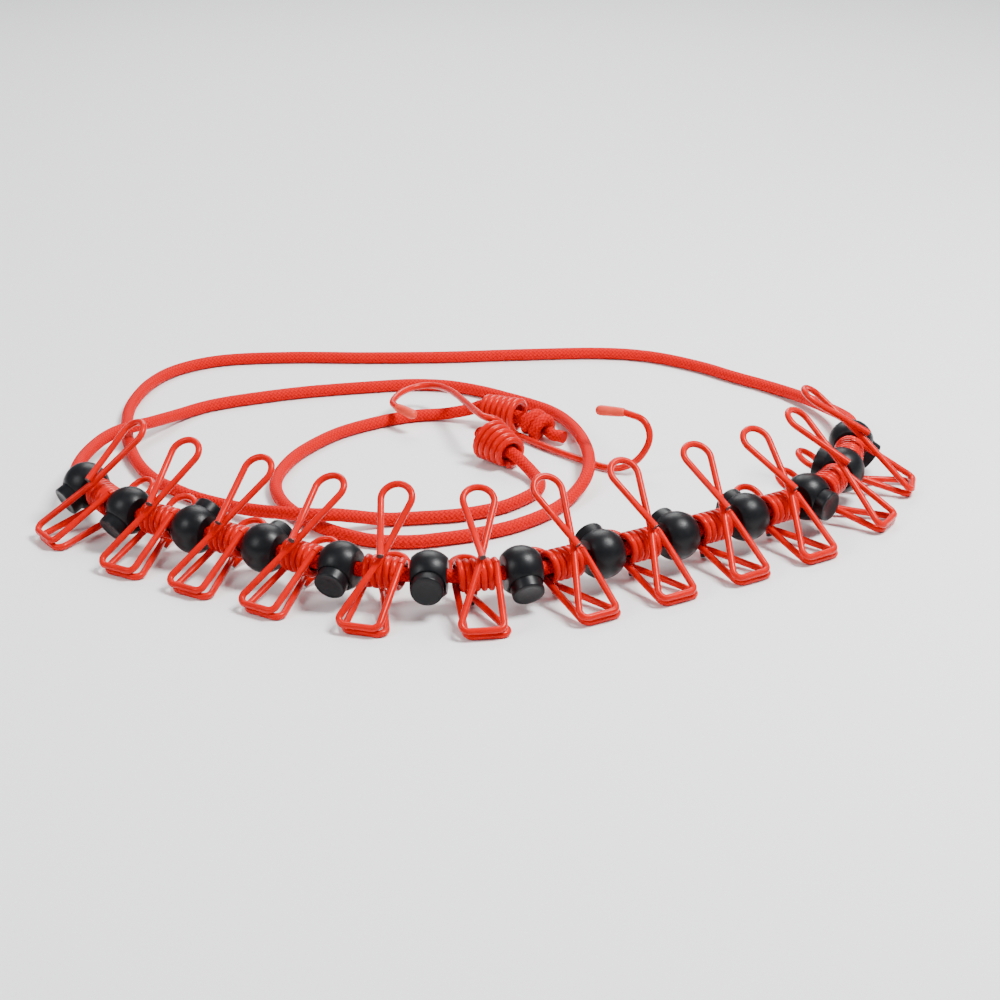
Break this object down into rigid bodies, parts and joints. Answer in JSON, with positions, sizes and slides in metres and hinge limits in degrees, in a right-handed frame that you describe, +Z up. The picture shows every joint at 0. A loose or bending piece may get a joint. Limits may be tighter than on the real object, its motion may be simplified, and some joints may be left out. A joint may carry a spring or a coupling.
{
  "type": "travel clothesline with clips",
  "caption": "Elastic cord line threaded through wire clips and push-button ball cord locks, with a wire hook at each end, lying loosely looped.",
  "frame": {"origin": "bottom centre of the hardware's bounding box (all nodes except the free cord), on the surface that the line lies on", "axes": "+X along the row of clips from its left end to its right end, -Y towards the clips' jaws in the middle of the row, +Z up"},
  "size_m": [0.3352, 0.3021, 0.0411],
  "materials": {
    "black_plastic": "satin black moulded plastic",
    "red_vinyl_wire": "steel wire in a glossy red vinyl coat",
    "red_braid": "matte braided sleeve over an elastic core",
    "dipped_tip": "soft matte dip coating"
  },
  "bodies": {
    "line": {"cord": "red_braid", "knot_a": "red_braid", "knot_b": "red_braid", "ball_01_shell": "black_plastic", "ball_02_shell": "black_plastic", "ball_03_shell": "black_plastic", "ball_04_shell": "black_plastic", "ball_05_shell": "black_plastic", "ball_06_shell": "black_plastic", "ball_07_shell": "black_plastic", "ball_08_shell": "black_plastic", "ball_09_shell": "black_plastic", "ball_10_shell": "black_plastic", "ball_11_shell": "black_plastic", "ball_12_shell": "black_plastic", "ball_13_shell": "black_plastic"},
    "hook_a": {"hook_a_wire": "red_vinyl_wire", "hook_a_tip": "dipped_tip"},
    "hook_b": {"hook_b_wire": "red_vinyl_wire", "hook_b_tip": "dipped_tip"},
    "clip_01": {"clip_01_back_arm": "red_vinyl_wire"},
    "clip_01_jaw": {"clip_01_front_arm": "red_vinyl_wire"},
    "clip_02": {"clip_02_back_arm": "red_vinyl_wire"},
    "clip_02_jaw": {"clip_02_front_arm": "red_vinyl_wire"},
    "clip_03": {"clip_03_back_arm": "red_vinyl_wire"},
    "clip_03_jaw": {"clip_03_front_arm": "red_vinyl_wire"},
    "clip_04": {"clip_04_back_arm": "red_vinyl_wire"},
    "clip_04_jaw": {"clip_04_front_arm": "red_vinyl_wire"},
    "clip_05": {"clip_05_back_arm": "red_vinyl_wire"},
    "clip_05_jaw": {"clip_05_front_arm": "red_vinyl_wire"},
    "clip_06": {"clip_06_back_arm": "red_vinyl_wire"},
    "clip_06_jaw": {"clip_06_front_arm": "red_vinyl_wire"},
    "clip_07": {"clip_07_back_arm": "red_vinyl_wire"},
    "clip_07_jaw": {"clip_07_front_arm": "red_vinyl_wire"},
    "clip_08": {"clip_08_back_arm": "red_vinyl_wire"},
    "clip_08_jaw": {"clip_08_front_arm": "red_vinyl_wire"},
    "clip_09": {"clip_09_back_arm": "red_vinyl_wire"},
    "clip_09_jaw": {"clip_09_front_arm": "red_vinyl_wire"},
    "clip_10": {"clip_10_back_arm": "red_vinyl_wire"},
    "clip_10_jaw": {"clip_10_front_arm": "red_vinyl_wire"},
    "clip_11": {"clip_11_back_arm": "red_vinyl_wire"},
    "clip_11_jaw": {"clip_11_front_arm": "red_vinyl_wire"},
    "clip_12": {"clip_12_back_arm": "red_vinyl_wire"},
    "clip_12_jaw": {"clip_12_front_arm": "red_vinyl_wire"},
    "button_01": {"ball_01_button": "black_plastic"},
    "button_02": {"ball_02_button": "black_plastic"},
    "button_03": {"ball_03_button": "black_plastic"},
    "button_04": {"ball_04_button": "black_plastic"},
    "button_05": {"ball_05_button": "black_plastic"},
    "button_06": {"ball_06_button": "black_plastic"},
    "button_07": {"ball_07_button": "black_plastic"},
    "button_08": {"ball_08_button": "black_plastic"},
    "button_09": {"ball_09_button": "black_plastic"},
    "button_10": {"ball_10_button": "black_plastic"},
    "button_11": {"ball_11_button": "black_plastic"},
    "button_12": {"ball_12_button": "black_plastic"},
    "button_13": {"ball_13_button": "black_plastic"}
  },
  "joints": [
    {"name": "clip_01_swing", "type": "hinge", "parent": "line", "child": "clip_01", "pos_m": [-0.14138, -0.01962, 0.01286], "axis": [-0.5599, 0.8285, 0], "continuous": true},
    {"name": "clip_01_open", "type": "hinge", "parent": "clip_01", "child": "clip_01_jaw", "pos_m": [-0.14138, -0.01962, 0.01286], "axis": [-0.5599, 0.8285, 0], "range_deg": [0, 30], "stiffness_Nm_per_rad": 0.2, "springref_deg": -37.24},
    {"name": "clip_02_swing", "type": "hinge", "parent": "line", "child": "clip_02", "pos_m": [-0.1183, -0.0413, 0.01286], "axis": [-0.8587, 0.5124, 0], "continuous": true},
    {"name": "clip_02_open", "type": "hinge", "parent": "clip_02", "child": "clip_02_jaw", "pos_m": [-0.1183, -0.0413, 0.01286], "axis": [-0.8587, 0.5124, 0], "range_deg": [0, 30], "stiffness_Nm_per_rad": 0.2, "springref_deg": -37.24},
    {"name": "clip_03_swing", "type": "hinge", "parent": "line", "child": "clip_03", "pos_m": [-0.09135, -0.05849, 0.01286], "axis": [-0.8462, 0.5328, 0], "continuous": true},
    {"name": "clip_03_open", "type": "hinge", "parent": "clip_03", "child": "clip_03_jaw", "pos_m": [-0.09135, -0.05849, 0.01286], "axis": [-0.8462, 0.5328, 0], "range_deg": [0, 30], "stiffness_Nm_per_rad": 0.2, "springref_deg": -37.24},
    {"name": "clip_04_swing", "type": "hinge", "parent": "line", "child": "clip_04", "pos_m": [-0.0642, -0.07533, 0.01286], "axis": [-0.8365, 0.548, 0], "continuous": true},
    {"name": "clip_04_open", "type": "hinge", "parent": "clip_04", "child": "clip_04_jaw", "pos_m": [-0.0642, -0.07533, 0.01286], "axis": [-0.8365, 0.548, 0], "range_deg": [0, 30], "stiffness_Nm_per_rad": 0.2, "springref_deg": -37.24},
    {"name": "clip_05_swing", "type": "hinge", "parent": "line", "child": "clip_05", "pos_m": [-0.03494, -0.08802, 0.01286], "axis": [-0.9587, 0.2844, 0], "continuous": true},
    {"name": "clip_05_open", "type": "hinge", "parent": "clip_05", "child": "clip_05_jaw", "pos_m": [-0.03494, -0.08802, 0.01286], "axis": [-0.9587, 0.2844, 0], "range_deg": [0, 30], "stiffness_Nm_per_rad": 0.2, "springref_deg": -37.24},
    {"name": "clip_06_swing", "type": "hinge", "parent": "line", "child": "clip_06", "pos_m": [-0.0032, -0.09018, 0.01286], "axis": [-0.9901, -0.1406, 0], "continuous": true},
    {"name": "clip_06_open", "type": "hinge", "parent": "clip_06", "child": "clip_06_jaw", "pos_m": [-0.0032, -0.09018, 0.01286], "axis": [-0.9901, -0.1406, 0], "range_deg": [0, 30], "stiffness_Nm_per_rad": 0.2, "springref_deg": -37.24},
    {"name": "clip_07_swing", "type": "hinge", "parent": "line", "child": "clip_07", "pos_m": [0.02699, -0.08019, 0.01286], "axis": [-0.856, -0.517, 0], "continuous": true},
    {"name": "clip_07_open", "type": "hinge", "parent": "clip_07", "child": "clip_07_jaw", "pos_m": [0.02699, -0.08019, 0.01286], "axis": [-0.856, -0.517, 0], "range_deg": [0, 30], "stiffness_Nm_per_rad": 0.2, "springref_deg": -37.24},
    {"name": "clip_08_swing", "type": "hinge", "parent": "line", "child": "clip_08", "pos_m": [0.05466, -0.06415, 0.01286], "axis": [-0.8524, -0.5229, 0], "continuous": true},
    {"name": "clip_08_open", "type": "hinge", "parent": "clip_08", "child": "clip_08_jaw", "pos_m": [0.05466, -0.06415, 0.01286], "axis": [-0.8524, -0.5229, 0], "range_deg": [0, 30], "stiffness_Nm_per_rad": 0.2, "springref_deg": -37.24},
    {"name": "clip_09_swing", "type": "hinge", "parent": "line", "child": "clip_09", "pos_m": [0.08161, -0.04707, 0.01286], "axis": [-0.8376, -0.5463, 0], "continuous": true},
    {"name": "clip_09_open", "type": "hinge", "parent": "clip_09", "child": "clip_09_jaw", "pos_m": [0.08161, -0.04707, 0.01286], "axis": [-0.8376, -0.5463, 0], "range_deg": [0, 30], "stiffness_Nm_per_rad": 0.2, "springref_deg": -37.24},
    {"name": "clip_10_swing", "type": "hinge", "parent": "line", "child": "clip_10", "pos_m": [0.10785, -0.02877, 0.01286], "axis": [-0.8282, -0.5605, 0], "continuous": true},
    {"name": "clip_10_open", "type": "hinge", "parent": "clip_10", "child": "clip_10_jaw", "pos_m": [0.10785, -0.02877, 0.01286], "axis": [-0.8282, -0.5605, 0], "range_deg": [0, 30], "stiffness_Nm_per_rad": 0.2, "springref_deg": -37.24},
    {"name": "clip_11_swing", "type": "hinge", "parent": "line", "child": "clip_11", "pos_m": [0.12905, -0.00519, 0.01286], "axis": [-0.496, -0.8683, 0], "continuous": true},
    {"name": "clip_11_open", "type": "hinge", "parent": "clip_11", "child": "clip_11_jaw", "pos_m": [0.12905, -0.00519, 0.01286], "axis": [-0.496, -0.8683, 0], "range_deg": [0, 30], "stiffness_Nm_per_rad": 0.2, "springref_deg": -37.24},
    {"name": "clip_12_swing", "type": "hinge", "parent": "line", "child": "clip_12", "pos_m": [0.14085, 0.02441, 0.01286], "axis": [-0.1998, -0.9798, 0], "continuous": true},
    {"name": "clip_12_open", "type": "hinge", "parent": "clip_12", "child": "clip_12_jaw", "pos_m": [0.14085, 0.02441, 0.01286], "axis": [-0.1998, -0.9798, 0], "range_deg": [0, 30], "stiffness_Nm_per_rad": 0.2, "springref_deg": -37.24},
    {"name": "button_01_press", "type": "slide", "parent": "line", "child": "button_01", "axis": [0.708, 0.5658, 0.4226], "range_m": [0, 0.0022], "stiffness_N_per_m": 800, "springref_m": -0.002},
    {"name": "button_02_press", "type": "slide", "parent": "line", "child": "button_02", "axis": [0.5788, 0.6198, 0.5299], "range_m": [0, 0.0022], "stiffness_N_per_m": 800, "springref_m": -0.002},
    {"name": "button_03_press", "type": "slide", "parent": "line", "child": "button_03", "axis": [-0.4868, -0.7366, -0.4695], "range_m": [0, 0.0022], "stiffness_N_per_m": 800, "springref_m": -0.002},
    {"name": "button_04_press", "type": "slide", "parent": "line", "child": "button_04", "axis": [-0.5069, -0.8444, -0.1736], "range_m": [0, 0.0022], "stiffness_N_per_m": 800, "springref_m": -0.002},
    {"name": "button_05_press", "type": "slide", "parent": "line", "child": "button_05", "axis": [0.3527, 0.8644, 0.3584], "range_m": [0, 0.0022], "stiffness_N_per_m": 800, "springref_m": -0.002},
    {"name": "button_06_press", "type": "slide", "parent": "line", "child": "button_06", "axis": [0.0623, 0.9857, 0.1564], "range_m": [0, 0.0022], "stiffness_N_per_m": 800, "springref_m": -0.002},
    {"name": "button_07_press", "type": "slide", "parent": "line", "child": "button_07", "axis": [-0.2556, 0.8274, 0.5], "range_m": [0, 0.0022], "stiffness_N_per_m": 800, "springref_m": -0.002},
    {"name": "button_08_press", "type": "slide", "parent": "line", "child": "button_08", "axis": [0.4557, -0.8218, -0.342], "range_m": [0, 0.0022], "stiffness_N_per_m": 800, "springref_m": -0.002},
    {"name": "button_09_press", "type": "slide", "parent": "line", "child": "button_09", "axis": [0.5241, -0.8259, -0.2079], "range_m": [0, 0.0022], "stiffness_N_per_m": 800, "springref_m": -0.002},
    {"name": "button_10_press", "type": "slide", "parent": "line", "child": "button_10", "axis": [0.5687, -0.7807, -0.2588], "range_m": [0, 0.0022], "stiffness_N_per_m": 800, "springref_m": -0.002},
    {"name": "button_11_press", "type": "slide", "parent": "line", "child": "button_11", "axis": [-0.7448, 0.6526, 0.1392], "range_m": [0, 0.0022], "stiffness_N_per_m": 800, "springref_m": -0.002},
    {"name": "button_12_press", "type": "slide", "parent": "line", "child": "button_12", "axis": [0.9024, -0.3774, -0.2079], "range_m": [0, 0.0022], "stiffness_N_per_m": 800, "springref_m": -0.002},
    {"name": "button_13_press", "type": "slide", "parent": "line", "child": "button_13", "axis": [-0.8021, 0.1661, 0.5736], "range_m": [0, 0.0022], "stiffness_N_per_m": 800, "springref_m": -0.002},
    {"name": "hook_a_swivel", "type": "hinge", "parent": "line", "child": "hook_a", "pos_m": [0.01011, 0.04265, 0.0068], "axis": [-0.6321, 0.7586, 0.158], "range_deg": [-20, 14]},
    {"name": "hook_b_swivel", "type": "hinge", "parent": "line", "child": "hook_b", "pos_m": [-0.00029, 0.09435, 0.008], "axis": [0.7848, -0.6195, -0.0177], "range_deg": [-3, 30]}
  ]
}
